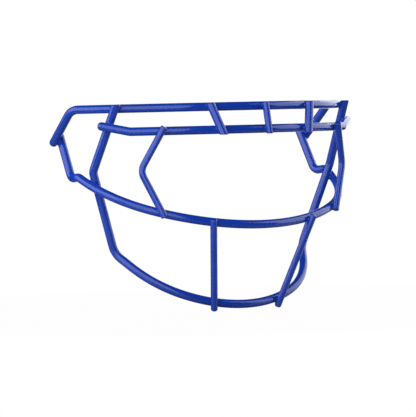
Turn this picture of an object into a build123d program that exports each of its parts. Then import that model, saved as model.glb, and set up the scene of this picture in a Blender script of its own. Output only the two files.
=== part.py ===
from build123d import *
import os
from math import asin, atan2, cos, degrees, hypot, pi, radians, sin, sqrt

# Football helmet facemask: a cage of bent round wires, welded where they cross and dipped in a coat.
# Millimetres. X runs to the right as seen from the front, Y runs back towards the helmet, Z is up.
# Left and right are as seen from the front. Every diameter is measured over the coat.

os.makedirs("parts", exist_ok=True)

# Wire, and how deep a wire is pressed into the next one where they are welded
wire_diameter = 6.4
light_wire_diameter = 5.2
weld_set_down = 0.6
eye_weld_set_down = 1.0
stub_weld_set_down = 1.6
weld_gap = 0.6

# Ends of the wires: a free end is domed, a mouth bar's ends are rounded, a cut end has its edge eased
dome_share = 0.86
foot_share = 0.7
mouth_top_share = 0.4
eased_edge = 0.5
cut_below_top = 0.45
cut_allowance = 8.0

# Brow bar: two tangent arcs and a straight in a level plane, then a wing that drops back. The wing's end
# is set from the foot of the main bar's riser.
brow_front_radius = 140.5
brow_front_angle = 41.5
brow_side_radius = 59.0
brow_side_angle = 24.8
brow_side_straight = 24.0
brow_corner_radius = 14.2
wing_end_outward = 4.27
wing_end_back = 19.32
wing_end_rise = 25.23

# Lower brow bar: one arc and a straight in a level plane, then a short end that kicks back and up. Its
# arc turns as far as brings the short end's start to its place beside the middle of the mask.
lower_brow_drop = 17.0
lower_brow_radius = 150.0
lower_brow_straight = 18.0
lower_brow_corner_radius = 7.0
stub_start_outward = 96.79
stub_outward = 17.5
stub_back = 16.5
stub_rise = 4.95

# Main bar: a sweep round the front in a plane that rises backwards, a short link and a riser
main_bar_drop = 87.7
main_bar_tilt_angle = 26.2
main_front_radius = 136.7
main_front_angle = 36.2
main_side_radius = 79.7
main_side_angle = 45.7
main_side_straight = 5.9
link_inward = 1.5
link_back = 12.0
link_drop = 1.1
link_bend_radius = 6.0
riser_bend_radius = 7.0
riser_weld_from_wing_end = 4.75
riser_tail = 4.0

# Side and jaw bar: down past the brow and eye openings, then round the jaw in a steeper plane
side_bend_back = 64.0
side_bend_drop = 46.1
side_bend_radius = 7.0
jaw_back = 26.1
jaw_drop = 147.7
jaw_tilt_angle = 40.9
jaw_front_radius = 97.9
jaw_front_angle = 29.8
jaw_side_radius = 73.8
jaw_side_angle = 34.9
jaw_side_straight = 17.2
jaw_bend_radius = 12.6

# Places of the crossings, as lengths along a bar from the middle of the mask
side_bar_on_brow = 112.1
tie_on_brow = 43.6
tie_on_lower_brow = 38.7
eye_guard_on_lower_brow = 81.6
eye_guard_on_main = 80.5
mouth_bar_on_main = 43.5
mouth_bar_on_jaw = 28.8

# Eye guards: a bend between two straights
eye_bend_outward = 11.6
eye_bend_back = 11.6
eye_bend_drop = 28.1
eye_bend_radius = 10.2
eye_top_tail = 4.45
eye_bottom_tail = 2.3

# Mouth bars and brow ties: straight wires
mouth_top_tail = 4.8
mouth_foot_tail = 5.0
tie_overhang = 0.5

wire_radius = wire_diameter / 2
light_wire_radius = light_wire_diameter / 2
heavy_on_heavy = wire_diameter - weld_set_down
light_on_heavy = light_wire_radius + wire_radius - weld_set_down
eye_on_main = light_wire_radius + wire_radius - eye_weld_set_down
stub_on_side = wire_diameter - stub_weld_set_down
touch_steps = 60
collar_corners = 8
collar_corner_shares = [corner / collar_corners for corner in range(collar_corners)]

# The side bars and the ties are cut level, just below the top of the brow bar.
level_cut = Plane.XY.offset(wire_radius - cut_below_top)
tie_foot = Plane.XY.offset(-lower_brow_drop - wire_radius - tie_overhang)


def bend_plane(back, drop, tilt):
    """The plane that a bar's front is bent in: across the mask, rising backwards by the tilt."""
    return Plane(Location((0, back, -drop), (tilt, 0, 0)))


def front_run(plane, bends):
    """Right half of a bar's front, from the middle of the mask: arcs tangent to one another."""
    place = plane.origin
    heading = plane.x_dir
    with BuildLine(plane) as run:
        for bend_radius, turn in bends:
            arc = JernArc(start=place, tangent=heading, radius=bend_radius, arc_size=turn)
            place = arc @ 1
            heading = arc % 1
    return run.line


def with_corners(run, corners, radii):
    """A front run carried on through rounded corners to the wire's end."""
    with BuildLine() as bar:
        add(run)
        FilletPolyline(run @ 1, *corners, radius=radii)
    return Wire(bar.line.edges())


def place_on(path, along):
    """A point on a bar, by its length along the bar from the middle of the mask."""
    return path.position_at(along, position_mode=PositionMode.LENGTH)


def outward_from(path, along, downward):
    """The direction out of the mask, square to a bar and to the wire that is laid down across it."""
    return downward.cross(path.tangent_at(along, position_mode=PositionMode.LENGTH)).normalized()


def laid_across(upper, upper_along, lower, lower_along, stand_off):
    """The two points where a straight wire lies on the outside of two bars, upper one first."""
    upper_place = place_on(upper, upper_along)
    lower_place = place_on(lower, lower_along)
    downward = lower_place - upper_place
    return (
        upper_place + outward_from(upper, upper_along, downward) * stand_off,
        lower_place + outward_from(lower, lower_along, downward) * stand_off,
    )


def laid_against(bar, stand_off, start, crossing, tail, outward):
    """A crossing, shifted until the straight run through it from its start lies against the bar."""
    for _ in range(touch_steps):
        tip = crossing + (crossing - start).normalized() * tail
        crossing = crossing + outward * (stand_off - Edge.make_line(start, tip).distance_to(bar))
    return crossing


def straight_wire(top, bottom, top_tail, bottom_tail):
    """A straight wire through its two crossings, with a tail past each."""
    along = (bottom - top).normalized()
    return Wire([Edge.make_line(top - along * top_tail, bottom + along * bottom_tail)])


def bar_along(path, radius):
    """The full round bar along a path, with square ends."""
    with BuildPart() as bar:
        with BuildSketch(Plane(origin=path @ 0, z_dir=path % 0)):
            Circle(radius)
        sweep(path=path)
    return bar.part


def across_mask(half):
    """A bar's whole path, from its left end to its right end."""
    return Wire([*mirror(half, about=Plane.YZ).edges(), *half.edges()])


def end_edges(bar):
    """The edges round the flat ends of a bar."""
    return bar.part.faces().filter_by(GeomType.PLANE).edges()


def weld_collar(inner_path, inner_radius, inner_bar, outer_path, outer_radius, outer_bar):
    """The ring of metal and coat in the notch round a crossing. It stops where the outer wire ends."""
    apart, inner_place, outer_place = inner_path.distance_to_with_closest_points(outer_path)
    inner_heading = inner_path.tangent_at(inner_path.param_at_point(inner_place))
    outer_heading = outer_path.tangent_at(outer_path.param_at_point(outer_place))
    if inner_heading.dot(outer_heading) < 0:
        outer_heading = -outer_heading
    half_angle = radians(inner_heading.get_angle(outer_heading)) / 2
    outward = (outer_place - inner_place).normalized()
    set_down = inner_radius + outer_radius - apart
    mean_radius = (inner_radius + outer_radius) / 2
    reach = sqrt(mean_radius * (weld_gap + set_down))
    seam = Plane(
        origin=inner_place + outward * (inner_radius - set_down / 2),
        x_dir=inner_heading + outer_heading,
        z_dir=outward,
    )
    corner_turns = [turn_share * 2 * pi for turn_share in collar_corner_shares]
    half_length = reach / sin(half_angle)
    half_width = reach / cos(half_angle)
    outline = [(half_length * cos(turn), half_width * sin(turn)) for turn in corner_turns]
    with BuildPart() as collar:
        with BuildSketch(seam):
            Polygon(*outline, align=None)
        extrude(amount=weld_gap + set_down / 2, both=True)
        add(inner_bar, mode=Mode.SUBTRACT)
        add(outer_bar, mode=Mode.SUBTRACT)
        split(bisect_by=level_cut, keep=Keep.BOTTOM)
        split(bisect_by=Plane(origin=outer_path @ 1, z_dir=outer_path % 1), keep=Keep.BOTTOM)
    return collar.part


# Paths of the long bars. The main bar is set by its own sizes, and the brow bar's wing reaches its riser.
main_run = front_run(
    bend_plane(0, main_bar_drop, main_bar_tilt_angle),
    [(main_front_radius, main_front_angle), (main_side_radius, main_side_angle)],
)
link_start = main_run @ 1 + (main_run % 1) * main_side_straight
riser_start = link_start + Vector(-link_inward, link_back, -link_drop)

brow_run = front_run(
    bend_plane(0, 0, 0),
    [(brow_front_radius, brow_front_angle), (brow_side_radius, brow_side_angle)],
)
brow_corner = brow_run @ 1 + (brow_run % 1) * brow_side_straight
wing_end = riser_start + Vector(wing_end_outward, wing_end_back, wing_end_rise)
brow_path = with_corners(brow_run, [brow_corner, wing_end], [brow_corner_radius])

# The riser ends on the inside of the wing.
wing_heading = (wing_end - brow_corner).normalized()
riser_weld = wing_end - wing_heading * riser_weld_from_wing_end
riser_inward = (riser_weld - riser_start).cross(wing_heading).normalized()
riser_weld = riser_weld + riser_inward * heavy_on_heavy
riser_weld = laid_against(brow_path, heavy_on_heavy, riser_start, riser_weld, riser_tail, riser_inward)
riser_end = riser_weld + (riser_weld - riser_start).normalized() * riser_tail
main_corners = [link_start, riser_start, riser_end]
main_path = with_corners(main_run, main_corners, [link_bend_radius, riser_bend_radius])

# The side and jaw bar hangs on the outside of the brow bar and passes inside the main bar.
jaw_run = front_run(
    bend_plane(jaw_back, jaw_drop, jaw_tilt_angle),
    [(jaw_front_radius, jaw_front_angle), (jaw_side_radius, jaw_side_angle)],
)
jaw_bend = jaw_run @ 1 + (jaw_run % 1) * jaw_side_straight
side_bend = Vector(jaw_bend.X, side_bend_back, -side_bend_drop)
for _ in range(touch_steps):
    spare = Edge.make_line(side_bend, jaw_bend).distance_to(main_path) - heavy_on_heavy
    side_bend = side_bend + Vector(spare, 0, 0)
side_crossing = place_on(brow_path, side_bar_on_brow)
side_outward = outward_from(brow_path, side_bar_on_brow, side_bend - side_crossing)
side_crossing = side_crossing + side_outward * heavy_on_heavy
side_crossing = laid_against(brow_path, heavy_on_heavy, side_bend, side_crossing, cut_allowance, side_outward)
side_top = side_crossing + (side_crossing - side_bend).normalized() * cut_allowance
side_path = with_corners(jaw_run, [jaw_bend, side_bend, side_top], [jaw_bend_radius, side_bend_radius])

# The lower brow bar slides back until it lies on the outside of the side bars.
straight_turn = atan2(lower_brow_straight, lower_brow_radius)
outward_turn = asin(stub_start_outward / hypot(lower_brow_radius, lower_brow_straight))
lower_brow_turn = degrees(outward_turn - straight_turn)
lower_brow_back = -side_bend_back
for _ in range(touch_steps):
    lower_brow_run = front_run(
        bend_plane(lower_brow_back, lower_brow_drop, 0),
        [(lower_brow_radius, lower_brow_turn)],
    )
    stub_start = lower_brow_run @ 1 + (lower_brow_run % 1) * lower_brow_straight
    stub_end = stub_start + Vector(stub_outward, stub_back, stub_rise)
    lower_brow_path = with_corners(lower_brow_run, [stub_start, stub_end], [lower_brow_corner_radius])
    lower_brow_back = lower_brow_back + lower_brow_path.distance_to(side_path) - stub_on_side

# The short wires lie on the outside of the bars that they join.
tie_places = (brow_path, tie_on_brow, lower_brow_path, tie_on_lower_brow)
tie_top, tie_bottom = laid_across(*tie_places, heavy_on_heavy)
tie_path = straight_wire(tie_top, tie_bottom, cut_allowance, cut_allowance)
centre_top, centre_bottom = laid_across(brow_path, 0, lower_brow_path, 0, light_on_heavy)
centre_path = straight_wire(centre_top, centre_bottom, cut_allowance, cut_allowance)
mouth_places = (main_path, mouth_bar_on_main, side_path, mouth_bar_on_jaw)
mouth_top, mouth_bottom = laid_across(*mouth_places, light_on_heavy)
mouth_path = straight_wire(mouth_top, mouth_bottom, mouth_top_tail, mouth_foot_tail)

eye_turn = Vector(eye_bend_outward, eye_bend_back, -eye_bend_drop)
eye_top = place_on(lower_brow_path, eye_guard_on_lower_brow)
eye_top = eye_top + outward_from(lower_brow_path, eye_guard_on_lower_brow, eye_turn) * light_on_heavy
eye_bend = eye_top + eye_turn
eye_bottom = place_on(main_path, eye_guard_on_main)
eye_outward = outward_from(main_path, eye_guard_on_main, eye_bottom - eye_bend)
eye_bottom = eye_bottom + eye_outward * eye_on_main
eye_bottom = laid_against(main_path, eye_on_main, eye_bend, eye_bottom, eye_bottom_tail, eye_outward)
eye_start = eye_top - eye_turn.normalized() * eye_top_tail
eye_end = eye_bottom + (eye_bottom - eye_bend).normalized() * eye_bottom_tail
with BuildLine() as eye_line:
    FilletPolyline(eye_start, eye_bend, eye_end, radius=eye_bend_radius)
eye_path = Wire(eye_line.line.edges())

# Long bars with their ends finished, before they are pressed into one another
with BuildPart() as brow_whole:
    add(bar_along(across_mask(brow_path), wire_radius))
    fillet(end_edges(brow_whole), dome_share * wire_radius)

with BuildPart() as lower_brow_whole:
    add(bar_along(across_mask(lower_brow_path), wire_radius))
    fillet(end_edges(lower_brow_whole), dome_share * wire_radius)

with BuildPart() as main_whole:
    add(bar_along(across_mask(main_path), wire_radius))
    chamfer(end_edges(main_whole), eased_edge)

with BuildPart() as side_whole:
    add(bar_along(across_mask(side_path), wire_radius))
    split(bisect_by=level_cut, keep=Keep.BOTTOM)
    chamfer(end_edges(side_whole), eased_edge)

# Short wires. They lie outside the long bars, so nothing is pressed into them.
with BuildPart() as right_brow_tie:
    add(bar_along(tie_path, wire_radius))
    split(bisect_by=level_cut, keep=Keep.BOTTOM)
    split(bisect_by=tie_foot, keep=Keep.TOP)
    chamfer(end_edges(right_brow_tie), eased_edge)

with BuildPart() as centre_brow_tie:
    add(bar_along(centre_path, light_wire_radius))
    split(bisect_by=level_cut, keep=Keep.BOTTOM)
    split(bisect_by=tie_foot, keep=Keep.TOP)
    chamfer(end_edges(centre_brow_tie), eased_edge)

with BuildPart() as right_eye_guard_bar:
    add(bar_along(eye_path, light_wire_radius))
    chamfer(end_edges(right_eye_guard_bar), eased_edge)

with BuildPart() as right_mouth_bar:
    add(bar_along(mouth_path, light_wire_radius))
    fillet(end_edges(right_mouth_bar).group_by(Axis.Z)[-1], mouth_top_share * light_wire_radius)
    fillet(end_edges(right_mouth_bar).group_by(Axis.Z)[0], foot_share * light_wire_radius)

with BuildPart() as left_brow_tie:
    add(right_brow_tie.part)
    mirror(about=Plane.YZ, mode=Mode.REPLACE)

with BuildPart() as left_eye_guard_bar:
    add(right_eye_guard_bar.part)
    mirror(about=Plane.YZ, mode=Mode.REPLACE)

with BuildPart() as left_mouth_bar:
    add(right_mouth_bar.part)
    mirror(about=Plane.YZ, mode=Mode.REPLACE)

# Long bars, each with the seats of the wires that lie on its outside
with BuildPart() as brow_bar:
    add(brow_whole.part)
    for outer in (side_whole, left_brow_tie, centre_brow_tie, right_brow_tie):
        add(outer.part, mode=Mode.SUBTRACT)

with BuildPart() as lower_brow_bar:
    add(lower_brow_whole.part)
    for outer in (left_brow_tie, centre_brow_tie, right_brow_tie, left_eye_guard_bar, right_eye_guard_bar):
        add(outer.part, mode=Mode.SUBTRACT)

with BuildPart() as main_bar:
    add(main_whole.part)
    for outer in (brow_whole, left_eye_guard_bar, right_eye_guard_bar, left_mouth_bar, right_mouth_bar):
        add(outer.part, mode=Mode.SUBTRACT)

with BuildPart() as side_and_jaw_bar:
    add(side_whole.part)
    for outer in (lower_brow_whole, main_whole, left_mouth_bar, right_mouth_bar):
        add(outer.part, mode=Mode.SUBTRACT)

pieces = {
    "brow_bar": brow_bar.part,
    "lower_brow_bar": lower_brow_bar.part,
    "main_bar": main_bar.part,
    "side_and_jaw_bar": side_and_jaw_bar.part,
    "left_brow_tie": left_brow_tie.part,
    "centre_brow_tie": centre_brow_tie.part,
    "right_brow_tie": right_brow_tie.part,
    "left_eye_guard_bar": left_eye_guard_bar.part,
    "right_eye_guard_bar": right_eye_guard_bar.part,
    "left_mouth_bar": left_mouth_bar.part,
    "right_mouth_bar": right_mouth_bar.part,
}

# Each wire's path and radius over the coat
wires = {
    "brow_bar": (brow_path, wire_radius),
    "lower_brow_bar": (lower_brow_path, wire_radius),
    "main_bar": (main_path, wire_radius),
    "side_and_jaw_bar": (side_path, wire_radius),
    "right_brow_tie": (tie_path, wire_radius),
    "centre_brow_tie": (centre_path, light_wire_radius),
    "right_eye_guard_bar": (eye_path, light_wire_radius),
    "right_mouth_bar": (mouth_path, light_wire_radius),
}

# Welds. Each row names a crossing, then its inner and its outer wire.
crossings = [
    ("brow_to_side_weld", "brow_bar", "side_and_jaw_bar"),
    ("brow_to_tie_weld", "brow_bar", "right_brow_tie"),
    ("brow_to_centre_tie_weld", "brow_bar", "centre_brow_tie"),
    ("lower_brow_to_side_weld", "side_and_jaw_bar", "lower_brow_bar"),
    ("lower_brow_to_tie_weld", "lower_brow_bar", "right_brow_tie"),
    ("lower_brow_to_centre_tie_weld", "lower_brow_bar", "centre_brow_tie"),
    ("lower_brow_to_eye_guard_weld", "lower_brow_bar", "right_eye_guard_bar"),
    ("main_to_side_weld", "side_and_jaw_bar", "main_bar"),
    ("main_to_wing_weld", "main_bar", "brow_bar"),
    ("main_to_eye_guard_weld", "main_bar", "right_eye_guard_bar"),
    ("main_to_mouth_weld", "main_bar", "right_mouth_bar"),
    ("jaw_to_mouth_weld", "side_and_jaw_bar", "right_mouth_bar"),
]
for name, inner, outer in crossings:
    weld = weld_collar(*wires[inner], pieces[inner], *wires[outer], pieces[outer])
    if outer == "centre_brow_tie":
        pieces[name] = weld
    else:
        pieces["right_" + name] = weld
        pieces["left_" + name] = mirror(weld, about=Plane.YZ)

# The mask stands on the feet of its mouth bars, so the origin is under the middle of its whole box.
boxes = [piece.bounding_box() for piece in pieces.values()]
front = min(box.min.Y for box in boxes)
back = max(box.max.Y for box in boxes)
foot = min(box.min.Z for box in boxes)
standing = Location((0, -(front + back) / 2, -foot))
for name, piece in pieces.items():
    standing_piece = piece.moved(standing)
    standing_piece.label = name
    export_step(standing_piece, f"parts/{name}.step")
print("brow bar's middle moved back", -(front + back) / 2, "and up", -foot)
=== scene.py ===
from math import cos, pi, radians, sin, sqrt

import bpy
import numpy as np
from mathutils import Matrix, Vector


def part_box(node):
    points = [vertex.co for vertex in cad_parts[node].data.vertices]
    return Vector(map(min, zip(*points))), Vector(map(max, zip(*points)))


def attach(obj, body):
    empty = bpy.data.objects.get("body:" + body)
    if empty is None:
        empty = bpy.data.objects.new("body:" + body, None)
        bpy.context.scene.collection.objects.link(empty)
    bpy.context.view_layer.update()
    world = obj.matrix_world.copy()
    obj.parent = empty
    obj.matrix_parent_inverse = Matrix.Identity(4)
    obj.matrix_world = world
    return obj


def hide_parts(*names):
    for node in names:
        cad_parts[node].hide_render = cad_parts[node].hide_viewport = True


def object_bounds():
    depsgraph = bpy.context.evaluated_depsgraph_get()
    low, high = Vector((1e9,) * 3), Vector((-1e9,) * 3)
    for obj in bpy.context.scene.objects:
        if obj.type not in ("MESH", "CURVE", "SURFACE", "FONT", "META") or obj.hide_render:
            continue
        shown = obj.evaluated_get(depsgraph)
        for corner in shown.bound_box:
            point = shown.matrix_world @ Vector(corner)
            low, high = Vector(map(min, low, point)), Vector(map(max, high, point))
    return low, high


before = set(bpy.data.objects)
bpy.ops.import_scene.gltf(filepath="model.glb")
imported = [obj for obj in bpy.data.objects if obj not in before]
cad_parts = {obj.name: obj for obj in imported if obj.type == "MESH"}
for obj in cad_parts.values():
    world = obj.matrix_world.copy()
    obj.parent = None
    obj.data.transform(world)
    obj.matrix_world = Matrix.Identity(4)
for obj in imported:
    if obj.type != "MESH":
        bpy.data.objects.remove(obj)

cad_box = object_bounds()

# A football helmet facemask of bent round wire, dipped in a glossy blue coat. Metres, standing on its
# mouth bars' feet, +Y back towards the helmet, +Z up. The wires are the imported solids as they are; the
# collars of coat in the notches round the welds are modelled here.

# Sizes of the object
mm = 0.001
wire_radius = 3.2 * mm
light_wire_radius = 2.6 * mm
light_wires = ("eye_guard_bar", "mouth_bar", "centre_brow_tie")
coat_fillet_radius = 0.5 * mm
light_coat_fillet_radius = 0.4 * mm
collar_sink = 0.25 * mm
cut_below_top = 0.45 * mm
level_cut = cad_box[1].z - cut_below_top

# How finely a collar is divided, and how a ball is fitted into the notch between two wires
collar_steps_round = 96
collar_steps_across = 10
notch_halvings = 60
longest_notch_share = 20
smallest_slant = 0.001

# How a wire's middle line is read off its skin near a crossing
skin_points = 60000
golden = 0.6180339887
axis_window = 8 * mm
axis_passes = 8
round_skin_slant = 0.25
middle_spread_share = 0.2
on_wire_share = 1.1

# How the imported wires' facets are joined and shaded
facet_gap = 0.001 * mm
crisp_edge_angle = radians(32)

# Coat: its two blues, its range of roughness, and how deep and strong its waves and its orange peel are.
# Each noise has so many swells in a metre, and so many finer layers.
coat_ior = 1.5
deep_blue = (0.0052, 0.0405, 0.357, 1)
pale_blue = (0.0068, 0.0480, 0.405, 1)
deep_blue_at = 0.35
pale_blue_at = 0.68
tint_noise = (55, 3)
smoothest = 0.10
roughest = 0.15
smoothest_at = 0.3
roughest_at = 0.7
gloss_noise = (160, 4)
wave_strength = 0.03
wave_depth = 0.25 * mm
wave_noise = (120, 1)
peel_strength = 0.008
peel_depth = 0.05 * mm
peel_noise = (900, 2)

# Photograph
photo_height_px = 417
photo_focal_px = 3276.0
camera_place = Vector((-1402.5, -2027.4, 147.6)) * mm
camera_azimuth = radians(34.3455)
camera_dip = radians(1.672)
camera_roll = radians(1.325)
sensor_height = 36.0
camera_reach = 20

# Studio: pale floor, white backdrop, dim room, and five large soft boxes. Each row gives a box's azimuth
# from the camera and its elevation in degrees, its width and height, and its brightness.
white = (1, 1, 1, 1)
middle = Vector((0, 0, 0.08))
floor_radius = 0.3
floor_corners = 96
floor_shade = (0.28, 0.28, 0.28, 1)
floor_roughness = 0.4
floor_ior = 2.6
floor_glow_share = 0.98
backdrop_distance = 0.8
backdrop_width = 0.5
backdrop_foot = -0.25
backdrop_top = 0.35
backdrop_light = 1.0
room_light = 0.01
soft_box_distance = 1.5
soft_boxes = [
    ("far_left_box", -101, 16, 0.7, 1.5, 1.45),
    ("left_side_box", -63, 16, 1.45, 1.65, 2.55),
    ("left_front_box", -9, 16, 1.55, 2.25, 2.05),
    ("right_side_box", 109.5, 18.5, 2.05, 1.8, 2.1),
    ("right_back_box", 157, 10, 0.7, 1.0, 2.1),
]

# Which two wires cross at each weld, the inner one first
crossings = {
    "brow_to_side_weld": ("brow_bar", "side_and_jaw_bar"),
    "brow_to_tie_weld": ("brow_bar", "{side}_brow_tie"),
    "brow_to_centre_tie_weld": ("brow_bar", "centre_brow_tie"),
    "lower_brow_to_side_weld": ("side_and_jaw_bar", "lower_brow_bar"),
    "lower_brow_to_tie_weld": ("lower_brow_bar", "{side}_brow_tie"),
    "lower_brow_to_centre_tie_weld": ("lower_brow_bar", "centre_brow_tie"),
    "lower_brow_to_eye_guard_weld": ("lower_brow_bar", "{side}_eye_guard_bar"),
    "main_to_side_weld": ("side_and_jaw_bar", "main_bar"),
    "main_to_wing_weld": ("main_bar", "brow_bar"),
    "main_to_eye_guard_weld": ("main_bar", "{side}_eye_guard_bar"),
    "main_to_mouth_weld": ("main_bar", "{side}_mouth_bar"),
    "jaw_to_mouth_weld": ("side_and_jaw_bar", "{side}_mouth_bar"),
}


# Wires and crossings
def radius_of(node_name):
    """A wire's radius over the coat, by the name of its node."""
    return light_wire_radius if node_name.endswith(light_wires) else wire_radius


def spread_over(node_name):
    """Points spread evenly over a wire's skin, with the skin's normals there."""
    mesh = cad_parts[node_name].data
    mesh.calc_loop_triangles()
    corners = np.array([[mesh.vertices[index].co for index in face.vertices] for face in mesh.loop_triangles])
    sides = np.cross(corners[:, 1] - corners[:, 0], corners[:, 2] - corners[:, 0])
    areas = np.linalg.norm(sides, axis=1)
    picks = np.searchsorted(np.cumsum(areas) / areas.sum(), (np.arange(skin_points) + 0.5) / skin_points)
    first = np.sqrt(np.arange(skin_points) * golden % 1)[:, None]
    second = (np.arange(skin_points) * golden ** 2 % 1)[:, None]
    chosen = corners[picks]
    points = chosen[:, 0] * (1 - first) + chosen[:, 1] * first * (1 - second) + chosen[:, 2] * first * second
    return points, sides[picks] / areas[picks, None]


def local_axis(node_name, place):
    """A point on a wire's middle line and the line's direction, read off the wire's skin near a place."""
    radius = radius_of(node_name)
    points, normals = skins[node_name]
    near = np.linalg.norm(points - np.array(place), axis=1) < axis_window
    points, normals = points[near], normals[near]
    _, directions = np.linalg.eigh(np.cov((points - points.mean(0)).T))
    along = directions[:, 2]
    for _ in range(axis_passes):
        round_skin = np.abs(normals @ along) < round_skin_slant
        inside = points[round_skin] - normals[round_skin] * radius
        centre = np.median(inside - np.outer((inside - np.array(place)) @ along, along), axis=0)
        off_line = inside - centre
        off_line = off_line - np.outer(off_line @ along, along)
        kept = np.linalg.norm(off_line, axis=1) < middle_spread_share * radius
        kept_normals = normals[round_skin][kept]
        _, directions = np.linalg.eigh(kept_normals.T @ kept_normals)
        along = directions[:, 0]
    return Vector(centre), Vector(along)


def free_length(node_name, centre, along):
    """How far a wire runs each way along its local middle line before it ends or bends off the line."""
    points, _ = skins[node_name]
    from_centre = points - np.array(centre)
    station = from_centre @ np.array(along)
    off_line = np.linalg.norm(from_centre - np.outer(station, np.array(along)), axis=1)
    on_wire = station[(off_line < radius_of(node_name) * on_wire_share) & (np.abs(station) < axis_window)]
    return on_wire.min(), on_wire.max()


def ball_in_notch(apart, first_slant, second_slant, first_reach, second_reach):
    """How far out, and how high over the first wire, a ball rests that touches both wires of a crossing."""
    low = 0.0
    high = min(first_reach / max(first_slant, smallest_slant), longest_notch_share * first_reach)
    for _ in range(notch_halvings):
        out = (low + high) / 2
        height = sqrt(max(first_reach ** 2 - (out * first_slant) ** 2, 0.0))
        clear = (apart - height) ** 2 + (out * second_slant) ** 2 > second_reach ** 2
        low, high = (low, out) if clear else (out, high)
    return out, height


def collar(name, first_node, second_node):
    """The concave collar of coat round one crossing: a closed ring between two wires' skins."""
    low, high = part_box(name)
    place = (low + high) / 2
    first_centre, first_along = local_axis(first_node, place)
    second_centre, second_along = local_axis(second_node, place)
    if first_along.dot(second_along) < 0:
        second_along = -second_along
    outward = first_along.cross(second_along).normalized()
    if outward.dot(second_centre - first_centre) < 0:
        outward = -outward
    apart = outward.dot(second_centre - first_centre)
    across = second_along.cross(outward).normalized()
    step = (second_centre - first_centre).dot(across) / first_along.dot(across)
    first_foot = first_centre + first_along * step
    second_foot = first_foot + outward * apart
    first_radius, second_radius = radius_of(first_node), radius_of(second_node)
    light = min(first_radius, second_radius) < wire_radius
    ball = light_coat_fillet_radius if light else coat_fillet_radius
    x_way = (first_along + second_along).normalized()
    y_way = outward.cross(x_way)
    limits = [
        (first_foot, first_along, free_length(first_node, first_foot, first_along)),
        (second_foot, second_along, free_length(second_node, second_foot, second_along)),
    ]

    vertices = []
    for turn in range(collar_steps_round):
        angle = 2 * pi * turn / collar_steps_round
        way = x_way * cos(angle) + y_way * sin(angle)
        out, height = ball_in_notch(
            apart,
            way.cross(first_along).length,
            way.cross(second_along).length,
            first_radius + ball,
            second_radius + ball,
        )
        centre = first_foot + way * out + outward * height
        first_axis = first_foot + first_along * (centre - first_foot).dot(first_along)
        second_axis = second_foot + second_along * (centre - second_foot).dot(second_along)
        to_first = (first_axis - centre).normalized()
        to_second = (second_axis - centre).normalized()
        bend = to_first.angle(to_second)
        rows = [centre + to_first * (ball + collar_sink)]
        for row in range(collar_steps_across + 1):
            share = row / collar_steps_across
            heading = to_first * sin((1 - share) * bend) + to_second * sin(share * bend)
            rows.append(centre + heading * (ball / sin(bend)))
        rows.append(centre + to_second * (ball + collar_sink))
        for point in rows:
            for foot, along, (nearest, farthest) in limits:
                station = (point - foot).dot(along)
                point = point + along * (min(max(station, nearest), farthest) - station)
            point.z = min(point.z, level_cut)
            vertices.append(point)

    per_turn = collar_steps_across + 3
    faces = []
    for turn in range(collar_steps_round):
        here = turn * per_turn
        there = (turn + 1) % collar_steps_round * per_turn
        for row in range(per_turn - 1):
            faces.append((here + row, there + row, there + row + 1, here + row + 1))
    faces.append([turn * per_turn for turn in reversed(range(collar_steps_round))])
    faces.append([turn * per_turn + per_turn - 1 for turn in range(collar_steps_round)])
    mesh = bpy.data.meshes.new("coat_collar_" + name)
    mesh.from_pydata(vertices, [], faces)
    mesh.validate()
    mesh.shade_smooth()
    mesh.materials.append(blue_coat)
    piece = bpy.data.objects.new("coat_collar_" + name, mesh)
    bpy.context.scene.collection.objects.link(piece)
    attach(piece, "root")
    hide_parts(name)


# Materials
def new_material(name):
    """A material with an empty node tree and its output."""
    material = bpy.data.materials.new(name)
    material.use_nodes = True
    nodes = material.node_tree.nodes
    nodes.clear()
    return material, nodes, material.node_tree.links, nodes.new("ShaderNodeOutputMaterial")


def noise(nodes, links, coordinates, per_metre, detail):
    """A noise texture over the object's own coordinates."""
    texture = nodes.new("ShaderNodeTexNoise")
    texture.inputs["Scale"].default_value = per_metre
    texture.inputs["Detail"].default_value = detail
    links.new(coordinates.outputs["Object"], texture.inputs["Vector"])
    return texture.outputs["Fac"]


def dipped_coat():
    """Thick blue plastic coat: soft gloss that varies a little, slow dip waves and a fine orange peel."""
    material, nodes, links, output = new_material("blue_dipped_coat")
    coordinates = nodes.new("ShaderNodeTexCoord")
    surface = nodes.new("ShaderNodeBsdfPrincipled")
    surface.inputs["IOR"].default_value = coat_ior

    tint = nodes.new("ShaderNodeValToRGB")
    tint.color_ramp.elements[0].position = deep_blue_at
    tint.color_ramp.elements[0].color = deep_blue
    tint.color_ramp.elements[1].position = pale_blue_at
    tint.color_ramp.elements[1].color = pale_blue
    links.new(noise(nodes, links, coordinates, *tint_noise), tint.inputs["Fac"])
    links.new(tint.outputs["Color"], surface.inputs["Base Color"])

    gloss = nodes.new("ShaderNodeMapRange")
    gloss.inputs["From Min"].default_value = smoothest_at
    gloss.inputs["From Max"].default_value = roughest_at
    gloss.inputs["To Min"].default_value = smoothest
    gloss.inputs["To Max"].default_value = roughest
    links.new(noise(nodes, links, coordinates, *gloss_noise), gloss.inputs["Value"])
    links.new(gloss.outputs["Result"], surface.inputs["Roughness"])

    waves = nodes.new("ShaderNodeBump")
    waves.inputs["Strength"].default_value = wave_strength
    waves.inputs["Distance"].default_value = wave_depth
    links.new(noise(nodes, links, coordinates, *wave_noise), waves.inputs["Height"])
    peel = nodes.new("ShaderNodeBump")
    peel.inputs["Strength"].default_value = peel_strength
    peel.inputs["Distance"].default_value = peel_depth
    links.new(noise(nodes, links, coordinates, *peel_noise), peel.inputs["Height"])
    links.new(waves.outputs["Normal"], peel.inputs["Normal"])
    links.new(peel.outputs["Normal"], surface.inputs["Normal"])
    links.new(surface.outputs["BSDF"], output.inputs["Surface"])
    return material


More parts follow.
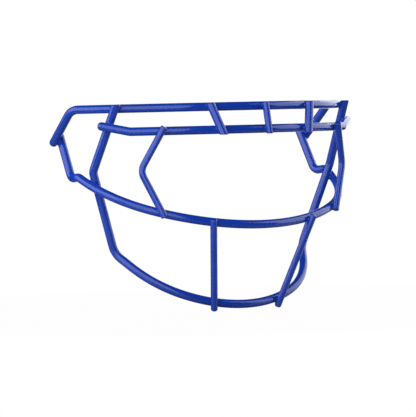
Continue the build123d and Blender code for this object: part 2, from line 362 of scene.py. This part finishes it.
def white_to(ray, otherwise, share, material_parts):
    """Finish a stage material: one kind of ray sees a share of plain white, and the rest sees the shader."""
    material, nodes, links, output = material_parts
    glow = nodes.new("ShaderNodeEmission")
    glow.inputs["Color"].default_value = white
    glow.inputs["Strength"].default_value = backdrop_light
    path = nodes.new("ShaderNodeLightPath")
    seen = nodes.new("ShaderNodeMath")
    seen.operation = "MULTIPLY"
    seen.inputs[1].default_value = share
    blend = nodes.new("ShaderNodeMixShader")
    links.new(path.outputs[ray], seen.inputs[0])
    links.new(seen.outputs["Value"], blend.inputs["Fac"])
    links.new(otherwise.outputs["BSDF"], blend.inputs[1])
    links.new(glow.outputs["Emission"], blend.inputs[2])
    links.new(blend.outputs["Shader"], output.inputs["Surface"])
    material.cycles.emission_sampling = "NONE"
    return material


def pale_floor():
    """Pale satin floor, which the camera sees almost evenly white with the mask's faint shadow on it."""
    material_parts = new_material("studio_floor")
    satin = material_parts[1].new("ShaderNodeBsdfPrincipled")
    satin.inputs["Base Color"].default_value = floor_shade
    satin.inputs["Roughness"].default_value = floor_roughness
    satin.inputs["IOR"].default_value = floor_ior
    return white_to("Is Camera Ray", satin, floor_glow_share, material_parts)


def white_backdrop():
    """The white behind the mask, as its gloss shows it. To every other ray the backdrop is clear."""
    material_parts = new_material("studio_backdrop")
    clear = material_parts[1].new("ShaderNodeBsdfTransparent")
    return white_to("Is Glossy Ray", clear, 1, material_parts)


# Stage and light
def lay_floor():
    """The round floor that the mask stands on."""
    bpy.ops.mesh.primitive_circle_add(
        vertices=floor_corners,
        radius=floor_radius,
        fill_type="NGON",
        location=(0, 0, 0),
    )
    floor = bpy.context.object
    floor.name = "studio_floor"
    floor.data.materials.append(pale_floor())


def hang_backdrop():
    """The upright sheet behind the mask, square to the camera."""
    behind = Vector((sin(camera_azimuth), cos(camera_azimuth), 0))
    sideways = Vector((cos(camera_azimuth), -sin(camera_azimuth), 0)) * (backdrop_width / 2)
    corners = [
        behind * backdrop_distance + sideways * side + Vector((0, 0, height))
        for side, height in ((-1, backdrop_foot), (1, backdrop_foot), (1, backdrop_top), (-1, backdrop_top))
    ]
    mesh = bpy.data.meshes.new("studio_backdrop")
    mesh.from_pydata(corners, [], [(0, 1, 2, 3)])
    mesh.materials.append(white_backdrop())
    sheet = bpy.data.objects.new("studio_backdrop", mesh)
    bpy.context.scene.collection.objects.link(sheet)


def light_room():
    """The world: plain white to the camera, and a dim room to everything else."""
    world = bpy.data.worlds.new("studio_world")
    bpy.context.scene.world = world
    world.use_nodes = True
    nodes = world.node_tree.nodes
    links = world.node_tree.links
    nodes.clear()
    output = nodes.new("ShaderNodeOutputWorld")
    path = nodes.new("ShaderNodeLightPath")
    blend = nodes.new("ShaderNodeMixShader")
    for socket, strength in ((1, room_light), (2, backdrop_light)):
        background = nodes.new("ShaderNodeBackground")
        background.inputs["Color"].default_value = white
        background.inputs["Strength"].default_value = strength
        links.new(background.outputs["Background"], blend.inputs[socket])
    links.new(path.outputs["Is Camera Ray"], blend.inputs["Fac"])
    links.new(blend.outputs["Shader"], output.inputs["Surface"])


def soft_box(name, azimuth, elevation, width, height, brightness):
    """A flat soft box that faces the mask. Its azimuth is counted from the camera, to the camera's right."""
    light = bpy.data.lights.new(name, "AREA")
    light.shape = "RECTANGLE"
    light.size = width
    light.size_y = height
    light.energy = brightness * pi * width * height
    turn = camera_azimuth - radians(azimuth)
    rise = radians(elevation)
    out = Vector((-sin(turn), -cos(turn), 0)) * cos(rise) + Vector((0, 0, sin(rise)))
    lamp = bpy.data.objects.new(name, light)
    lamp.location = middle + out * soft_box_distance
    lamp.rotation_euler = (-out).to_track_quat("-Z", "Y").to_euler()
    bpy.context.scene.collection.objects.link(lamp)


def place_camera():
    """The camera, at the photograph's place: it looks along +Y turned by the azimuth, tipped, then rolled."""
    camera_data = bpy.data.cameras.new("photo_camera")
    camera_data.sensor_fit = "VERTICAL"
    camera_data.sensor_height = sensor_height
    camera_data.lens = photo_focal_px * sensor_height / photo_height_px
    camera_data.clip_end = camera_reach
    camera = bpy.data.objects.new("photo_camera", camera_data)
    bpy.context.scene.collection.objects.link(camera)
    turned = Matrix.Rotation(-camera_azimuth, 4, "Z")
    tipped = Matrix.Rotation(pi / 2 - camera_dip, 4, "X")
    rolled = Matrix.Rotation(-camera_roll, 4, "Z")
    camera.matrix_world = Matrix.Translation(camera_place) @ turned @ tipped @ rolled
    bpy.context.scene.camera = camera


# Pieces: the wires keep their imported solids, and each weld gets its rounded collar
blue_coat = dipped_coat()
skins = {name: spread_over(name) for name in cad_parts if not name.endswith("_weld")}
for node_name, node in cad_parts.items():
    for material_slot in node.material_slots:
        material_slot.material = blue_coat
    if node_name.endswith("_weld"):
        side, _, rest = node_name.partition("_")
        side, rest = (side, rest) if side in ("left", "right") else ("", node_name)
        inner, outer = (wire.format(side=side) for wire in crossings[rest])
        collar(node_name, inner, outer)
    else:
        node.data.shade_smooth()
        weld = node.modifiers.new("joined_facets", "WELD")
        weld.merge_threshold = facet_gap
        split = node.modifiers.new("crisp_edges", "EDGE_SPLIT")
        split.split_angle = crisp_edge_angle

lay_floor()
hang_backdrop()
light_room()
for soft_box_sizes in soft_boxes:
    soft_box(*soft_box_sizes)
place_camera()
bpy.context.scene.view_settings.view_transform = "Standard"
